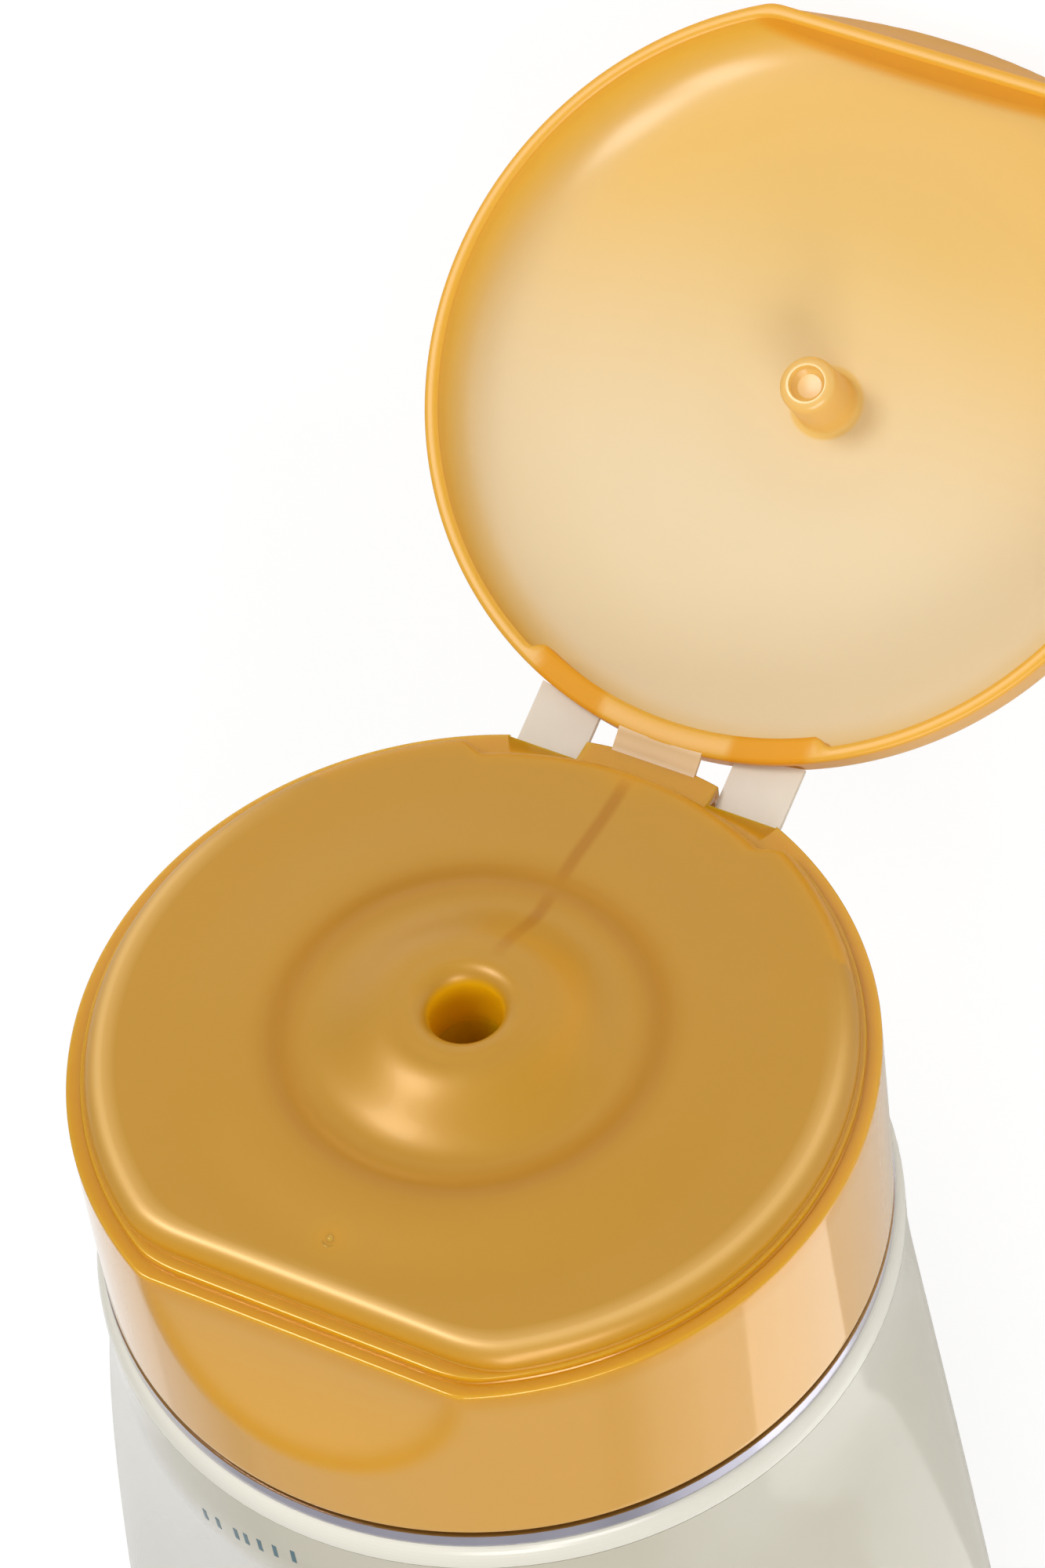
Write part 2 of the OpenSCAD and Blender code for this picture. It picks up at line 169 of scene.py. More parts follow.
def cutWith(piece, tool):
    change = piece.modifiers.new("cut", "BOOLEAN")
    change.object = tool
    change.operation = "DIFFERENCE"
    change.solver = "EXACT"
    bpy.context.view_layer.objects.active = piece
    bpy.ops.object.modifier_apply(modifier=change.name)
    bpy.data.objects.remove(tool)


def addMask(piece, name, maskAt):
    mask = piece.data.attributes.new(name, "FLOAT", "POINT")
    mask.data.foreach_set("value", [maskAt(v.co.x, v.co.y, v.co.z) for v in piece.data.vertices])


def place(piece, matrix, body, nodes, slot, *materials):
    piece.data.transform(matrix)
    for material in materials:
        piece.data.materials.append(material)
    if body:
        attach(piece, body)
    if nodes:
        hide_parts(*nodes)


# Materials: each colour varies a little over the piece, and masks made with the meshes deepen it; some of these
# masks paint light into it: a painted highlight, sheen, glow and backlight
def linear(*colour):
    parts = []
    for c in colour:
        parts.append(((c / 255 + 0.055) / 1.055) ** 2.4 if c > 10 else c / 255 / 12.92)
    return tuple(parts) + (1.0,)


class Shader:
    def __init__(self, name):
        self.material = bpy.data.materials.new(name)
        self.material.use_nodes = True
        self.tree = self.material.node_tree
        self.base = self.tree.nodes["Principled BSDF"]
        self.output = self.tree.nodes["Material Output"]

    def node(self, kind):
        return self.tree.nodes.new(kind)

    def link(self, source, target):
        self.tree.links.new(source, target)

    def set(self, **values):
        for name, value in values.items():
            self.base.inputs[name].default_value = value

    def noise(self, scale):
        coordinates = self.node("ShaderNodeTexCoord")
        pattern = self.node("ShaderNodeTexNoise")
        pattern.inputs["Scale"].default_value = scale
        pattern.inputs["Detail"].default_value = 3.0
        self.link(coordinates.outputs["Object"], pattern.inputs["Vector"])
        return pattern.outputs["Fac"]

    def mask(self, name):
        attribute = self.node("ShaderNodeAttribute")
        attribute.attribute_name = name
        return attribute.outputs["Fac"]

    def mathNode(self, operation, *sources):
        result = self.node("ShaderNodeMath")
        result.operation = operation
        for source, socket in zip(sources, result.inputs):
            self.link(source, socket)
        return result.outputs["Value"]

    # 1 at the middle line of the row frame, 0 well beyond the half width
    def stripe(self, half):
        coordinates = self.node("ShaderNodeTexCoord")
        parts = self.node("ShaderNodeSeparateXYZ")
        self.link(coordinates.outputs["Object"], parts.inputs["Vector"])
        away = self.mathNode("ABSOLUTE", parts.outputs["X"])
        fade = self.node("ShaderNodeMapRange")
        fade.interpolation_type = "SMOOTHSTEP"
        limits = (("From Min", half * 0.4), ("From Max", half * 1.6), ("To Min", 1.0), ("To Max", 0.0))
        for name, value in limits:
            fade.inputs[name].default_value = value
        self.link(away, fade.inputs["Value"])
        return fade.outputs["Result"]

    def ranged(self, source, low, high):
        spread = self.node("ShaderNodeMapRange")
        spread.inputs["To Min"].default_value = low
        spread.inputs["To Max"].default_value = high
        self.link(source, spread.inputs["Value"])
        return spread.outputs["Result"]

    def tint(self, scale, low, high, dark, light):
        return self.mixed(self.ranged(self.noise(scale), low, high), dark, light)

    def mixed(self, factor, a, b):
        mix = self.node("ShaderNodeMix")
        mix.data_type = "RGBA"
        self.link(factor, mix.inputs["Factor"])
        for value, socket in ((a, mix.inputs["A"]), (b, mix.inputs["B"])):
            if isinstance(value, tuple):
                socket.default_value = value
            else:
                self.link(value, socket)
        return mix.outputs["Result"]

    def byMask(self, socket, name, low, high):
        self.link(self.ranged(self.mask(name), low, high), self.base.inputs[socket])

    def letThrough(self, colour, share):
        through = self.node("ShaderNodeBsdfTranslucent")
        self.link(colour, through.inputs["Color"])
        blend = self.node("ShaderNodeMixShader")
        blend.inputs["Fac"].default_value = share
        self.link(self.base.outputs["BSDF"], blend.inputs[1])
        self.link(through.outputs["BSDF"], blend.inputs[2])
        self.link(blend.outputs["Shader"], self.output.inputs["Surface"])


def makeAmber():
    shader = Shader("amberPlastic")
    tint = shader.tint(180, 0.35, 0.65, linear(188, 136, 30), linear(196, 144, 40))
    # painted sheen: the skirt, and by half the ledge, are painted lighter for the pale reflections in their gloss
    skirt = shader.mixed(shader.mask("glossAndSheen"), tint, linear(216, 161, 68))
    # painted highlight along the deck's edge
    edgeHighlight = shader.mixed(shader.mask("edgeHighlight"), skirt, linear(244, 200, 124))
    line = shader.mathNode("MULTIPLY", shader.stripe(0.0004), shader.mask("weld"))
    weld = shader.mixed(line, edgeHighlight, linear(178, 118, 0))
    ring = shader.mixed(shader.mask("ring"), weld, linear(182, 124, 0))
    deep = shader.mixed(shader.mask("deep"), ring, linear(210, 150, 4))
    # painted glow inside the orifice, for light coming through the amber
    glow = shader.mixed(shader.mask("glow"), deep, linear(255, 200, 4))
    shader.link(glow, shader.base.inputs["Base Color"])
    shader.byMask("Roughness", "glossAndSheen", 0.38, 0.07)
    shader.byMask("Coat Weight", "glossAndSheen", 0.04, 0.3)
    shader.byMask("Subsurface Weight", "deep", 0.12, 0.8)
    shader.set(**{"Metallic": 0.12, "Specular IOR Level": 0.55, "Coat Roughness": 0.05})
    shader.set(**{"Subsurface Scale": 0.003, "Subsurface Radius": (1.0, 0.75, 0.3)})
    return shader.material


def makeLidAmber():
    shader = Shader("lidAmber")
    # painted backlight: paler towards the roof and the hinge, for light shining through the lid
    inside = shader.mixed(shader.mask("paintedBacklight"), linear(250, 208, 70), linear(252, 240, 204))
    both = shader.mixed(shader.mask("outside"), inside, linear(236, 192, 92))
    deep = shader.mixed(shader.mask("deep"), both, linear(246, 176, 14))
    drift = shader.tint(140, 0.0, 0.06, deep, linear(250, 232, 190))
    shader.link(drift, shader.base.inputs["Base Color"])
    shader.byMask("Roughness", "dull", 0.3, 0.5)
    shader.byMask("Coat Weight", "dull", 0.4, 0.0)
    shader.byMask("Specular IOR Level", "dull", 0.9, 0.25)
    shader.set(**{"Coat Roughness": 0.2})
    shader.letThrough(drift, 0.36)
    return shader.material


def makeThin(name, dark, light, share):
    shader = Shader(name)
    tint = shader.tint(420, 0.2, 0.8, linear(*dark), linear(*light))
    shader.link(tint, shader.base.inputs["Base Color"])
    shader.set(**{"Roughness": 0.32})
    shader.letThrough(tint, share)
    return shader.material


def makePlain(name, scale, low, high, dark, light, finish):
    shader = Shader(name)
    tint = shader.tint(scale, low, high, linear(*dark), linear(*light))
    shader.link(tint, shader.base.inputs["Base Color"])
    shader.set(**finish)
    return shader.material


amber = makeAmber()
lidAmber = makeLidAmber()
strapWhite = makeThin("strapWhite", (240, 230, 212), (250, 244, 232), 0.35)
filmPale = makeThin("filmPale", (240, 204, 146), (246, 218, 170), 0.3)
sleeveFinish = {"Roughness": 0.14, "Coat Weight": 0.15, "Coat Roughness": 0.04}
sleeveWhite = makePlain("sleeveWhite", 60, 0.0, 1.0, (190, 183, 160), (199, 195, 181), sleeveFinish)
markTeal = makePlain("markTeal", 900, 0.0, 1.0, (58, 92, 104), (84, 116, 126), {"Roughness": 0.3})
foilFinish = {"Metallic": 1.0, "Roughness": 0.14}
silverFoil = makePlain("silverFoil", 220, 0.2, 0.8, (176, 172, 190), (222, 220, 232), foilFinish)
headWhite = makePlain("headWhite", 90, 0.3, 0.7, (216, 212, 196), (228, 224, 212), {"Roughness": 0.22})
gelFinish = {"Roughness": 0.08, "Transmission Weight": 0.5, "IOR": 1.38}
clearGel = makePlain("clearGel", 70, 0.3, 0.7, (206, 214, 200), (226, 232, 224), gelFinish)
print("materials made")

# Gate mark: where the mould leaves a small nib on the deck
gate = {
    "x": -0.5,
    "y": -16.8,
    "z": 2.12,
    "sides": 24,
    "profile": (
        (0.08, 0.24), (0.18, 0.2), (0.25, 0.04), (0.36, 0.0), (0.5, 0.05), (0.62, 0.0), (0.62, -0.15),
    ),
}

# Closure base: one looped profile from the orifice over the deck and down the skirt, then back up inside
deck = {
    "sides": 480,
    "footRadius": 23.7,
    "frontEdge": 20.7,
    "frontStep": 21.65,
    "rearRadius": 22.5,
    "rearHalfWidth": 10.85,
    "edgeRadius": 1.25,
    "height": 2.0,
    "middle": 2.6,
    "stepWidth": 0.35,
    "stepHeight": 0.5,
    "flatRadius": 19.3,
    "ringOuter": 12.9,
    "ringWidth": 2.4,
    "ringDepth": 0.13,
    "spoutFoot": 10.2,
    "spoutLip": 4.3,
    "spoutTop": 4.9,
    "mouthRadius": 3.5,
    "orificeRadius": 2.3,
    "orificeRows": (-2.2, -1, 0, 1, 2, 3),
    "stepEdge": 0.1,
    "skirtTop": -0.45,
    "skirtTopEdge": 0.18,
    "skirtBottomEdge": 0.3,
    "skirtRows": 48,
    "wall": 1.3,
    "wallLevels": (-10.5, -8, -5.5, -3.4, -1.3),
    "hidden": (
        (11.8, -1.3), (11.8, -11.9), (10.6, -11.9), (10.6, 0.3), (8.8, 0.3),
        (8.8, -3.5), (8.0, -3.5), (8.0, 1.3), (3.65, 1.3), (3.65, -2.2),
    ),
}
ringInner = deck["ringOuter"] - deck["ringWidth"]


def deckFoot(angle):
    x = math.cos(angle) * deck["footRadius"]
    radius = deck["footRadius"]
    if math.sin(angle) > 0:
        inside = 1 - ease(abs(x), deck["rearHalfWidth"] - 0.7, deck["rearHalfWidth"] + 0.7)
        radius += (deck["rearRadius"] - deck["footRadius"]) * inside
    if -math.sin(angle) > frontShare:
        radius = softMin(radius, deck["frontEdge"] / -math.sin(angle), 1.2)
    return radius


def deckStep(angle):
    radius = deckFoot(angle) + deck["stepWidth"]
    if -math.sin(angle) > frontShare:
        radius = softMin(deck["footRadius"] + deck["stepWidth"], deck["frontStep"] / -math.sin(angle), 0.8)
    return radius


def outerWall(angle, z):
    return cutByRecess(closure["radius"], angle, z, recess["reach"])


def shapedRow(radiusAt, z):
    return ringOfPoints(deck["sides"], radiusAt, z)


def roundRow(radius, z):
    return shapedRow(lambda a: radius, z)


def spoutRows():
    rows = [roundRow(deck["orificeRadius"], z) for z in deck["orificeRows"]]
    mouth = deck["mouthRadius"] - deck["orificeRadius"]
    for u in quarter(8):
        radius = deck["orificeRadius"] + mouth * (1 - math.cos(u))
        rows.append(roundRow(radius, deck["spoutTop"] - mouth * (1 - math.sin(u))))
    rows.append(roundRow(3.9, deck["spoutTop"] - 0.03))
    lip = (deck["spoutLip"], deck["spoutTop"] - 0.12)
    rows += [roundRow(radius, z) for radius, z in slope(lip, (deck["spoutFoot"], deck["middle"]), 40)]
    rows.append(roundRow((deck["spoutFoot"] + ringInner) / 2, deck["middle"]))
    return rows


def deckRows():
    rows = []
    ringSteps = 20
    for i in range(ringSteps + 1):
        f = i / ringSteps
        dip = deck["ringDepth"] * ((1 - math.cos(2 * math.pi * f)) / 2) ** 1.5
        rows.append(roundRow(ringInner + deck["ringWidth"] * f, deck["middle"] - dip))
    outer = (deck["ringOuter"] + 0.2, deck["middle"])
    rows += [roundRow(radius, z) for radius, z in slope(outer, (deck["flatRadius"], deck["height"]), 16)]
    edge, top = deck["edgeRadius"], deck["height"]
    for share in (0.4, 0.75):
        rows.append(shapedRow(lambda a: deck["flatRadius"] * (1 - share) + (deckFoot(a) - edge) * share, top))
    for u in quarter(10):
        inward, down = edge * (1 - math.sin(u)), edge * (1 - math.cos(u))
        rows.append(shapedRow(lambda a: deckFoot(a) - inward, top - down))
    step, soft = deck["stepHeight"], deck["stepEdge"]
    rows.append(shapedRow(deckFoot, step + soft))
    rows.append(shapedRow(lambda a: deckFoot(a) + soft, step))
    rows.append(shapedRow(lambda a: deckStep(a) - soft, step))
    rows.append(shapedRow(lambda a: deckStep(a) - 0.3 * soft, step - 0.3 * soft))
    rows.append(shapedRow(deckStep, step - soft))
    rows.append(shapedRow(deckStep, 0.08))
    rows.append(shapedRow(lambda a: deckStep(a) + 0.06, 0.0))
    return rows


def skirtRows():
    rows = []
    for u in quarter(4):
        inward, down = deck["skirtTopEdge"] * (1 - math.sin(u)), deck["skirtTopEdge"] * (1 - math.cos(u))
        rows.append(shapedRow(lambda a: outerWall(a, 0) - inward, -down))
    edge, top, steps = deck["skirtBottomEdge"], deck["skirtTop"], deck["skirtRows"]
    bottom = edge - closure["skirt"]
    for i in range(steps + 1):
        z = top + (bottom - top) * i / steps
        rows.append(shapedRow(lambda a: outerWall(a, z), z))
    for u in quarter(4)[1:]:
        rows.append(roundRow(closure["radius"] - edge * (1 - math.cos(u)), bottom - edge * math.sin(u)))
    return rows


# Hidden inside: the skirt's wall, the collar on the tube's neck and the orifice's lower rim
def innerRows():
    wall = deck["wall"]
    inner = closure["radius"] - wall
    rows = [roundRow(inner, -closure["skirt"])]
    for z in deck["wallLevels"]:
        rows.append(shapedRow(lambda a: cutByRecess(inner, a, z, recess["reach"], wall), z))
    return rows + [roundRow(radius, z) for radius, z in deck["hidden"]]


# Straps, and the pockets that hold them in the closure and the lid
strap = {
    "across": 7.0,
    "halfWidth": 2.25,
    "pocketHalf": 2.4,
    "pocketBack": 22.95,
    "basePocket": -1.92,
    "lidPocket": 1.82,
    "lidPocketLow": 0.9,
    "lidPocketBack": 23.3,
    "pocketOut": 32,
    "basePocketTop": 6,
    "rearWall": 23.35,
    "rearWallHalf": 10.2,
    "rearWallTop": 2.2,
    "thick": 0.4,
    "root": (23.3, -1.32),
    "slope": 20.8,
    "innerLength": 3.8,
    "outerLength": 4.6,
    "rows": 24,
}


def pocketTool(name, back, low, high):
    mesh = bmesh.new()
    half, out = strap["pocketHalf"], strap["pocketOut"]
    for side in (-1, 1):
        middle = side * strap["across"]
        boxOfMesh(mesh, (middle - half, back, low), (middle + half, out, high))
    return asObject(name, mesh)


# Masks of the closure: where the amber is deeper, with a painted reflection on the spout's flank; where it is
# paler, as a painted highlight on the deck's edge and a painted sheen on the skirt; and a painted glow inside the
# orifice, as if lit from within
tone = {
    "deckLow": 0.3,
    "paintedGlowRadius": 3.3,
    "edgeHighlight": {"inward": 0.95, "width": 0.4, "share": 0.6},
    "funnel": {"half": 1.6, "from": 19.6, "to": 22.4},
    "edge": {"share": 0.4, "rearShare": 0.85, "rear": 14},
    "nib": {"share": 0.55, "spread": 0.8},
    "flankReflection": {"share": 0.7, "radius": 6.7, "width": 1.2, "turn": 0.7},
    "band": {"gap": 0.15, "width": 0.38, "share": 0.85},
    "ledge": 0.8,
    "below": 0.7,
}


def recessBand(x, y, z):
    angle = math.atan2(y, x)
    if -math.sin(angle) < frontShare:
        return 0.0
    gap = closure["radius"] - recessAt(z, recess["reach"]) / -math.sin(angle)
    return hump(gap, tone["band"]["gap"], tone["band"]["width"])


def ringOfBase(x, y, z):
    half = deck["ringWidth"] / 2
    return hump(math.hypot(x, y), ringInner + half, half) if z > tone["deckLow"] else 0.0


# Painted highlight on the deck's rounded edge, a pale band just inside its foot, fading out towards the hinge
def edgeHighlightOfBase(x, y, z):
    inward = deckFoot(math.atan2(y, x)) - math.hypot(x, y)
    if z < 0.6 or inward > 3:
        return 0.0
    edgeHighlight = tone["edgeHighlight"]
    return edgeHighlight["share"] * hump(inward, edgeHighlight["inward"], edgeHighlight["width"]) * (1 - ease(y, 2, 14))


def weldOfBase(x, y, z):
    return 0.95 * ease(y, 3.5, 6.5) if z > tone["deckLow"] else 0.0


# Painted glow in the orifice's bore, fading out towards the top of its mouth
def paintedGlowOfBase(x, y, z):
    return 1 - ease(z, 3.75, 4.5) if math.hypot(x, y) <= tone["paintedGlowRadius"] else 0.0


def deepOfDeck(x, y, radius, angle, foot):
    funnel = tone["funnel"]
    weld = hump(x, 0, funnel["half"]) * ease(y, funnel["from"], funnel["to"])
    edge = tone["edge"]["share"] * ease(radius, foot - 0.35, foot)
    if y > tone["edge"]["rear"]:
        edge = tone["edge"]["rearShare"] * ease(radius, foot - 1.7, foot - 0.3)
    away = (x - gate["x"]) ** 2 + (y - gate["y"]) ** 2
    nib = tone["nib"]["share"] * math.exp(-away / tone["nib"]["spread"])
    # painted reflection: the spout's right flank is painted deeper orange, for light reflected inside the amber
    side = max(0.0, math.cos(angle - tone["flankReflection"]["turn"])) ** 2
    flankReflection = tone["flankReflection"]["share"] * hump(radius, tone["flankReflection"]["radius"], tone["flankReflection"]["width"]) * side
    return min(1.0, max(weld, edge, nib, flankReflection))


def deepOfBase(x, y, z):
    radius = math.hypot(x, y)
    angle = math.atan2(y, x)
    foot = deckFoot(angle)
    if z > tone["deckLow"] and radius < foot + 0.02:
        return deepOfDeck(x, y, radius, angle, foot)
    if z > -0.5:
        return tone["ledge"]
    below = tone["below"] * (1 - ease(-z, 0.4, 2.2))
    return min(1.0, max(below, tone["band"]["share"] * recessBand(x, y, z)))


# The gloss of the finish, and where the amber is painted lighter as a painted sheen: all of the skirt, half of the
# ledge, none of the deck
def glossAndSheenOfBase(x, y, z):
    return 1.0 if z < -0.4 else 0.5 if z < 0.6 else 0.0


def makeBase():
    mesh = bmesh.new()
    skinOfRings(mesh, spoutRows() + deckRows() + skirtRows() + innerRows(), True)
    piece = asObject("closureBase", mesh)
    pockets = pocketTool("basePockets", strap["pocketBack"], strap["basePocket"], strap["basePocketTop"])
    cutWith(piece, pockets)
    addMask(piece, "deep", deepOfBase)
    addMask(piece, "glossAndSheen", glossAndSheenOfBase)
    addMask(piece, "glow", paintedGlowOfBase)
    addMask(piece, "weld", weldOfBase)
    addMask(piece, "ring", ringOfBase)
    addMask(piece, "edgeHighlight", edgeHighlightOfBase)
    place(piece, closureToRow, "tube", ["closure_base"], "closure_base", amber)


makeBase()


def makeGate():
    mesh = bmesh.new()
    rings = [ringOfPoints(gate["sides"], lambda a: radius, height) for radius, height in gate["profile"]]
    skinOfRings(mesh, rings, False)
    bmesh.ops.translate(mesh, verts=mesh.verts, vec=Vector((gate["x"], gate["y"], gate["z"])))
    piece = asObject("gateMark", mesh, 60)
    addMask(piece, "deep", lambda x, y, z: 0.35)
    addMask(piece, "glossAndSheen", lambda x, y, z: 0.6)
    place(piece, closureToRow, "tube", [], "closure_base", amber)


makeGate()
print("closure base made")

# Film: the thin web between the straps, folded at rest
film = {
    "half": 2.9,
    "columns": 12,
    "top": (
        (24.3, -0.12), (24.62, 0.04), (24.85, 0.22), (25.1, 0.41),
        (25.33, 0.57), (25.5, 0.72), (25.72, 0.93), (26.0, 1.06),
    ),
    "thick": 0.3,
}


def makeFilm():
    mesh = bmesh.new()
    points = [mesh.verts.new((-film["half"], y, z)) for y, z in film["top"]]
    strip = [mesh.edges.new(pair) for pair in zip(points, points[1:])]
    for i in range(film["columns"]):
        made = bmesh.ops.extrude_edge_only(mesh, edges=strip)["geom"]
        moved = [v for v in made if isinstance(v, bmesh.types.BMVert)]
        bmesh.ops.translate(mesh, verts=moved, vec=Vector((2 * film["half"] / film["columns"], 0, 0)))
        edges = [e for e in made if isinstance(e, bmesh.types.BMEdge)]
        strip = [e for e in edges if all(v in moved for v in e.verts)]
    bmesh.ops.recalc_face_normals(mesh, faces=mesh.faces)
    if sum(f.normal.z for f in mesh.faces) < 0:
        bmesh.ops.reverse_faces(mesh, faces=mesh.faces)
    bmesh.ops.solidify(mesh, geom=list(mesh.faces), thickness=film["thick"])
    piece = asObject("hingeFilm", mesh, 50)
    place(piece, closureToRow, None, [], "lid", filmPale)
    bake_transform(piece)


makeFilm()
print("film made")

# Lid: one profile from the pin's hollow tip, over the inside, round the rim and up the outside
lid = {
    "sides": 480,
    "wall": 0.9,
    "rim": 0.1,
    "rimTop": 1.8,
    "height": 8.0,
    "roof": 6.8,
    "roofRadius": 15.3,
    "roofStep": 6.2,
    "stepDepth": 0.08,
    "pinRadius": 1.9,
    "pinTip": 1.9,
    "pinEdge": 0.7,
    "cupRadius": 1.1,
    "cupDepth": 0.8,
    "pinRoot": ((1.91, 3.6), (1.93, 4.6), (1.95, 5.6), (1.98, 6.3), (2.04, 6.6), (2.16, 6.78), (2.35, 6.88)),
    "innerLow": 1.2,
    "rimSoft": 0.3,
    "recessReach": 4.5,
    "frontInside": 21.65,
    "frontSoft": 0.5,
}


def lidShaped(radiusAt, z):
    return ringOfPoints(lid["sides"], radiusAt, z)


def lidRound(radius, z):
    return lidShaped(lambda a: radius, z)


def lidOutside(radius, z):
    return lidShaped(lambda a: cutByRecess(radius, a, z, lid["recessReach"]), z)


def pinRows():
    tip, cup, edge = lid["pinTip"], lid["cupRadius"], lid["pinEdge"]
    rows = [lidRound(0.3, tip + lid["cupDepth"] + 0.05), lidRound(0.8, tip + lid["cupDepth"])]
    rows += [lidRound(cup, tip + 0.5), lidRound(cup + 0.02, tip + 0.14), lidRound(cup + 0.1, tip + 0.02)]
    for u in quarter(8)[1:]:
        rows.append(lidRound(lid["pinRadius"] - edge * (1 - math.sin(u)), tip + edge * (1 - math.cos(u))))
    rows += [lidRound(radius, z) for radius, z in lid["pinRoot"]]
    return rows


def lidInside(angle, radius, z):
    if -math.sin(angle) > frontShare:
        radius = softMin(radius, lid["frontInside"] / -math.sin(angle), lid["frontSoft"])
    x, y = radius * math.cos(angle), radius * math.sin(angle)
    if y > 0 and z < strap["rearWallTop"] + 0.8:
        across = 1 - ease(abs(x), strap["rearWallHalf"] - 0.35, strap["rearWallHalf"] + 0.35)
        up = 1 - ease(z, strap["rearWallTop"], strap["rearWallTop"] + 0.5)
        radius = min(radius, radius + (strap["rearWall"] - radius) * across * up)
    return radius


def lidInnerRows():
    roof, deepRoof, low = lid["roof"], lid["roof"] + lid["stepDepth"], lid["innerLow"]
    rows = [lidRound(radius, deepRoof) for radius in (2.6, 4.6, lid["roofStep"] - 0.3)]
    rows += [lidRound(radius, roof) for radius in (lid["roofStep"] + 0.15, 9, 12, lid["roofRadius"] - 0.25)]
    rows.append(lidRound(lid["roofRadius"], roof - 0.03))
    inner = closure["radius"] - lid["wall"]
    for u in reversed(quarter(44)[:-1]):
        radius = lid["roofRadius"] + (inner - lid["roofRadius"]) * math.cos(u)
        z = low + (roof - 0.06 - low) * math.sin(u)
        rows.append(lidShaped(lambda a: lidInside(a, radius, z), z))
    for z in (0.7, 0.28):
        rows.append(lidShaped(lambda a: lidInside(a, inner, z), z))
    return rows


def lidOuterRows():
    soft, rim, rimTop = lid["rimSoft"], lid["rim"], lid["rimTop"]
    inner = closure["radius"] - lid["wall"]
    rows = []
    for share in (0.7, 0.4, 0.1):
        level = rim + soft * share * share * 0.6
        rows.append(lidShaped(lambda a: lidInside(a, inner, 0) + soft * (1 - share), level))
    for u in quarter(4):
        inward = soft * (1 - math.sin(u))
        rows.append(lidShaped(lambda a: outerWall(a, 0) - inward, rim + soft * (1 - math.cos(u))))
    rows += [lidOutside(closure["radius"], z) for z in (0.6, 1.0, 1.4)]
    outRoof = lid["roofRadius"] - 0.8
    for u in quarter(46):
        radius = outRoof + (closure["radius"] - outRoof) * math.cos(u)
        rows.append(lidOutside(radius, rimTop + (lid["height"] - rimTop) * math.sin(u)))
    rows += [lidRound(radius, lid["height"]) for radius in (9, 3)]
    return rows


def insideOfLid(x, y, z):
    radius = math.hypot(x, y)
    share = min(1.0, max(0.0, (z - lid["innerLow"]) / (lid["roof"] - lid["innerLow"])))
    bulge = closure["radius"] - lid["wall"] - lid["roofRadius"]
    dome = lid["roofRadius"] + bulge * math.sqrt(1 - share**2)
    return radius < lidInside(math.atan2(y, x), dome, z) + 0.12 and z < lid["roof"] + 0.3


# Masks of the lid: paler towards the roof and towards the hinge, a painted light shining through from behind; dull
# on the roof; deeper at the rim, the front and round the pockets
lidTone = {
    "pin": {"radius": 2.4, "top": 6.6, "paintedBacklight": 0.3, "deep": 0.1},
    "paintedBacklight": {"from": 1.2, "to": 5.6, "least": 0.3, "front": -15, "back": 10},
    "dull": {"from": 4.6, "to": 5.8},
    "front": {"share": 0.75, "from": 0.15, "to": 0.7},
    "rear": {"y": 20, "radius": 22.9, "top": 2.6, "rim": 0.45, "least": 0.55, "from": 9.9, "to": 10.5},
    "rim": {"share": 0.45, "from": 0.1, "to": 0.9},
}


# Painted backlight: the inside is painted paler towards the roof and towards the hinge, as light shining through
# the lid from behind; the pin a little
def paintedBacklightOfLid(x, y, z):
    paintedBacklight, pin = lidTone["paintedBacklight"], lidTone["pin"]
    if math.hypot(x, y) < pin["radius"]:
        return pin["paintedBacklight"]
    backward = ease(y, paintedBacklight["front"], paintedBacklight["back"])
    return ease(z, paintedBacklight["from"], paintedBacklight["to"]) * (paintedBacklight["least"] + (1 - paintedBacklight["least"]) * backward)


def dullOfLid(x, y, z):
    return max(ease(z, lidTone["dull"]["from"], lidTone["dull"]["to"]), deepOfLid(x, y, z))


def deepOfLid(x, y, z):
    radius = math.hypot(x, y)
    inside = insideOfLid(x, y, z)
    pin, flat, back, rim = lidTone["pin"], lidTone["front"], lidTone["rear"], lidTone["rim"]
    if radius < pin["radius"] and z < pin["top"]:
        return pin["deep"]
    front = 0.0
    if inside and -y > 0.6 * radius:
        front = flat["share"] * (1 - ease(lid["frontInside"] + y, flat["from"], flat["to"]))
    rear = 0.0
    if y > back["y"] and radius > back["radius"] and z < back["top"] and (inside or z < back["rim"]):
        across = abs(abs(x) - strap["across"]) - strap["pocketHalf"]
        rear = back["least"] + (1 - back["least"]) * (1 - ease(across, -0.2, 0.4))
        rear *= 1 - ease(abs(x), back["from"], back["to"])
    return max(front, rear, rim["share"] * (1 - ease(z, rim["from"], rim["to"])))


def makeLid():
    mesh = bmesh.new()
    skinOfRings(mesh, pinRows() + lidInnerRows() + lidOuterRows(), False)
    piece = asObject("flipLid", mesh)
    pockets = pocketTool("lidPockets", strap["lidPocketBack"], strap["lidPocketLow"], strap["lidPocket"])
    cutWith(piece, pockets)
    addMask(piece, "paintedBacklight", paintedBacklightOfLid)
    addMask(piece, "outside", lambda x, y, z: 0.0 if insideOfLid(x, y, z) or z < 0.3 else 1.0)
    addMask(piece, "deep", deepOfLid)
    addMask(piece, "dull", dullOfLid)
    place(piece, lidToRow, "lid", ["lid"], "lid", lidAmber)


makeLid()
print("lid made")


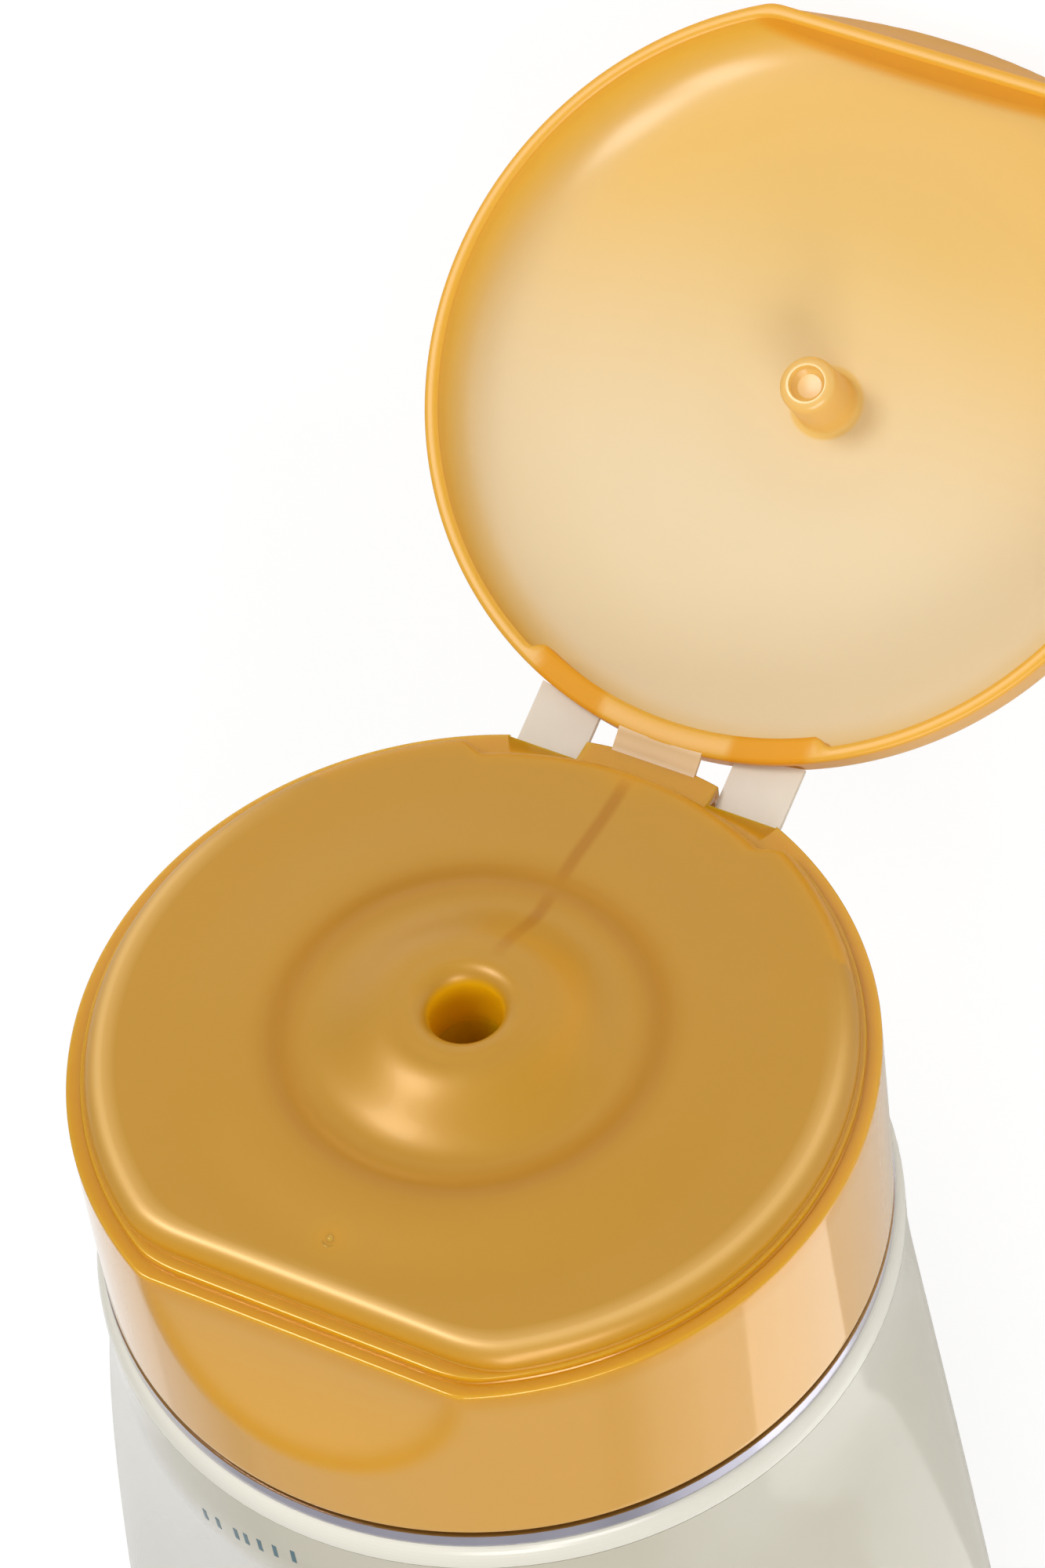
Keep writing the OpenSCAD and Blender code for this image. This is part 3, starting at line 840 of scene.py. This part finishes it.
# Hinge straps: pale, thin, and sloped between the tube and the lid
def makeStrap(name, side, node):
    mesh = bmesh.new()
    rows = strap["rows"]
    turn = math.radians(strap["slope"])
    middle = (strap["outerLength"] + strap["innerLength"]) / 2
    rings = []
    for i in range(rows + 1):
        ring = []
        for x, up in ((-1, -1), (-0.34, -1), (0.34, -1), (1, -1), (1, 1), (0.34, 1), (-0.34, 1), (-1, 1)):
            outward = x * side > 0
            reach = strap["outerLength"] if outward else strap["innerLength"]
            along = (middle + (reach - middle) * abs(x)) * i / rows
            lift = up * strap["thick"] / 2
            y = strap["root"][0] + along * math.cos(turn) - lift * math.sin(turn)
            z = strap["root"][1] + along * math.sin(turn) + lift * math.cos(turn)
            ring.append(Vector((side * strap["across"] + x * strap["halfWidth"], y, z)))
        rings.append(ring)
    skinOfRings(mesh, rings, False)
    piece = asObject(name, mesh, 50)
    place(piece, closureToRow, None, [node], node, strapWhite)
    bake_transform(piece)


makeStrap("hingeStrapLeft", -1, "hinge_strap_left")
makeStrap("hingeStrapRight", 1, "hinge_strap_right")
print("straps made")

# Sleeve: round at the shoulder and flattening to the crimp, with constant girth
sleeve = {
    "sides": 180,
    "rows": 90,
    "radius": 25.6,
    "wall": 0.6,
    "top": -17.95,
    "straight": 3.0,
    "start": 6.0,
    "bow": 1.35,
    "length": 125.0,
    "crimp": 8.0,
    "ribRows": 80,
    "ribPitch": 0.8,
    "ribDepth": 0.1,
}
taperTop = sleeve["top"] + 0.05 - sleeve["straight"]
taperLength = sleeve["length"] - sleeve["straight"]
crimpTop = taperTop - taperLength
tubeEnd = crimpTop - sleeve["crimp"]


def sleeveRing(z, inset):
    down = max(0.0, taperTop - z)
    start = sleeve["start"]
    eased = down * down / (2 * start) if down < start else down - start / 2
    share = 1 - (1 - min(1.0, eased / (taperLength - start / 2))) ** sleeve["bow"]
    depth = sleeve["radius"] * (1 - share) + sleeve["wall"] * share
    girth = 1 + (math.pi / (2 * math.sqrt(2)) - 1) * share**1.4
    width = math.sqrt(2 * (girth * sleeve["radius"]) ** 2 - depth * depth)
    blunt = 1 - 0.7 * share**8
    ribs = 0.0
    pitch = sleeve["ribPitch"]
    if tubeEnd + pitch < z < crimpTop - pitch:
        ribs = sleeve["ribDepth"] * (1 + math.cos(2 * math.pi * (z - tubeEnd) / pitch)) / 2
    ring = []
    for i in range(sleeve["sides"]):
        angle = 2 * math.pi * i / sleeve["sides"]
        tall = (depth - inset - ribs) * math.copysign(abs(math.sin(angle)) ** blunt, math.sin(angle))
        ring.append(Vector(((width - inset) * math.cos(angle), tall, z)))
    return ring


def sleeveLevels(top):
    levels = [top, taperTop]
    levels += [taperTop - taperLength * (i / sleeve["rows"]) for i in range(1, sleeve["rows"] + 1)]
    return levels


# Marks: short plain bars stand for the printed text, which isn't copied
marks = {
    "proud": 0.03,
    "thick": 0.1,
    "left": (
        (-110.5, -23.9), (-107.6, -23.4), (-103.8, -22.8), (-101.8, -22.5),
        (-99.2, -22.1), (-96.4, -21.7), (-93.2, -21.2),
    ),
    "leftSize": (0.7, 1.3),
    "right": ((47.0, -25.6), (42.0, -24.2), (37.5, -23.0), (33.0, -21.9)),
    "rightSize": (1.0, 0.9),
}


def markCorner(angle, z, out):
    ring = sleeveRing(z, -out)
    along = math.radians(angle) % (2 * math.pi) / (2 * math.pi) * len(ring)
    first = int(along) % len(ring)
    return ring[first].lerp(ring[(first + 1) % len(ring)], along % 1)


def makeMarks():
    mesh = bmesh.new()
    for bars, size in ((marks["left"], marks["leftSize"]), (marks["right"], marks["rightSize"])):
        half, tall = size[0] / 2, size[1] / 2
        for angle, z in bars:
            corners = []
            for out in (marks["proud"] - marks["thick"], marks["proud"]):
                for turn, rise in ((-half, -tall), (half, -tall), (half, tall), (-half, tall)):
                    corners.append(mesh.verts.new(markCorner(angle + turn, z + rise, out)))
            for face in ((3, 2, 1, 0), (4, 5, 6, 7), (0, 1, 5, 4), (1, 2, 6, 5), (2, 3, 7, 6), (3, 0, 4, 7)):
                mesh.faces.new([corners[i] for i in face])
    piece = asObject("sleeveMarks", mesh, 50)
    place(piece, closureToRow, "tube", [], "sleeve", markTeal)


def makeSleeve():
    mesh = bmesh.new()
    rings = [sleeveRing(z, 0) for z in sleeveLevels(sleeve["top"])]
    ribRows = sleeve["ribRows"]
    rings += [sleeveRing(crimpTop - sleeve["crimp"] * i / ribRows, 0) for i in range(1, ribRows + 1)]
    inner = [sleeveRing(z, sleeve["wall"]) for z in sleeveLevels(sleeve["top"]) if z > crimpTop + 4]
    loops = [[mesh.verts.new(p) for p in ring] for ring in reversed(inner)]
    loops += [[mesh.verts.new(p) for p in ring] for ring in rings]
    sides = sleeve["sides"]
    for first, second in zip(loops, loops[1:]):
        for i in range(sides):
            j = (i + 1) % sides
            mesh.faces.new((first[i], first[j], second[j], second[i]))
    mesh.faces.new(loops[0])
    mesh.faces.new(loops[-1])
    piece = asObject("sleeveSkin", mesh, 50)
    place(piece, closureToRow, "tube", ["sleeve"], "sleeve", sleeveWhite)


makeSleeve()
makeMarks()
print("sleeve made")

for name, material in (("foil_band", silverFoil), ("tube_head", headWhite), ("gel_fill", clearGel)):
    node = frame["nodes"][name]
    node.data.materials.clear()
    node.data.materials.append(material)


# Ground and light, in metres
studio = {"reach": 3.0, "drop": 0.0002, "world": 0.5, "lampDistance": 0.6, "cardLevel": 0.001}


def whiteGround():
    shader = Shader("whiteGround")
    paths = shader.node("ShaderNodeLightPath")
    flat = shader.node("ShaderNodeBsdfDiffuse")
    flat.inputs["Color"].default_value = (0.85, 0.85, 0.85, 1)
    shade = shader.node("ShaderNodeBsdfDiffuse")
    shade.inputs["Color"].default_value = (0.2, 0.2, 0.2, 1)
    glow = shader.node("ShaderNodeEmission")
    glow.inputs["Strength"].default_value = 0.85
    both = shader.node("ShaderNodeAddShader")
    shader.link(shade.outputs["BSDF"], both.inputs[0])
    shader.link(glow.outputs["Emission"], both.inputs[1])
    mix = shader.node("ShaderNodeMixShader")
    shader.link(paths.outputs["Is Camera Ray"], mix.inputs["Fac"])
    shader.link(flat.outputs["BSDF"], mix.inputs[1])
    shader.link(both.outputs["Shader"], mix.inputs[2])
    shader.link(mix.outputs["Shader"], shader.output.inputs["Surface"])
    return shader.material


def makeGround():
    mesh = bmesh.new()
    reach, drop = studio["reach"], studio["drop"]
    sides = ((-1, -1), (1, -1), (1, 1), (-1, 1))
    mesh.faces.new([mesh.verts.new((x * reach, y * reach, -drop)) for x, y in sides])
    ground = asObject("ground", mesh)
    ground.data.materials.append(whiteGround())


def makeWorld():
    world = bpy.data.worlds.new("studio")
    bpy.context.scene.world = world
    world.use_nodes = True
    background = world.node_tree.nodes["Background"]
    background.inputs["Color"].default_value = (1, 1, 1, 1)
    background.inputs["Strength"].default_value = studio["world"]


def makeArea(name, size, watts):
    data = bpy.data.lights.new(name, "AREA")
    data.shape = "RECTANGLE"
    data.size, data.size_y = size
    data.energy = watts
    area = bpy.data.objects.new(name, data)
    bpy.context.collection.objects.link(area)
    area.visible_camera = False
    return area


def makeLamp(name, towards, size, watts):
    lamp = makeArea(name, size, watts)
    direction = Vector(towards).normalized()
    lamp.location = Vector(hinge["pos_m"]) + direction * studio["lampDistance"]
    lamp.rotation_euler = direction.to_track_quat("Z", "Y").to_euler()


# A card lies on the ground and shines up, for the pale reflections in the skirt
def makeCard(name, middle, size, turn, watts):
    card = makeArea(name, size, watts)
    card.location = (middle[0], middle[1], studio["cardLevel"])
    card.rotation_euler = (math.pi, 0, math.radians(turn))


makeGround()
makeWorld()
makeLamp("keyLamp", (0.40, -0.66, 0.64), (0.2, 0.2), 1.5)
makeLamp("sideLamp", (-0.64, 0.04, 0.77), (0.2, 0.24), 1.0)
makeLamp("arcLamp", (-0.42, 0.36, 0.83), (0.16, 0.24), 0.85)
makeCard("rightCard", (-0.078, 0.037), (0.06, 0.08), 42, 0.01)
makeCard("farCard", (-0.135, 0.105), (0.06, 0.11), 42, 0.002)
makeCard("leftCard", (0.1, 0.07), (0.03, 0.16), -35, 0.002)
bpy.context.scene.view_settings.view_transform = "Standard"

# Camera, fitted to the photo in the closure's own millimetres
photo = {
    "centre": (136.4, -193.0, 318.0),
    "forward": (-0.3505, 0.5209, -0.7783),
    "up": (-0.3089, 0.7203, 0.6211),
    "lens": 149.15,
    "sensor": 36.0,
}


def makeCamera():
    data = bpy.data.cameras.new("camera")
    data.lens = photo["lens"]
    data.sensor_width = photo["sensor"]
    data.clip_start = 0.01
    camera = bpy.data.objects.new("camera", data)
    bpy.context.collection.objects.link(camera)
    turn = turnToRow.to_3x3()
    forward = (turn @ Vector(photo["forward"])).normalized()
    right = forward.cross(turn @ Vector(photo["up"])).normalized()
    up = right.cross(forward)
    facing = Matrix((right, up, -forward)).transposed().to_4x4()
    camera.matrix_world = Matrix.Translation(closureToRow @ Vector(photo["centre"])) @ facing
    bpy.context.scene.camera = camera


makeCamera()
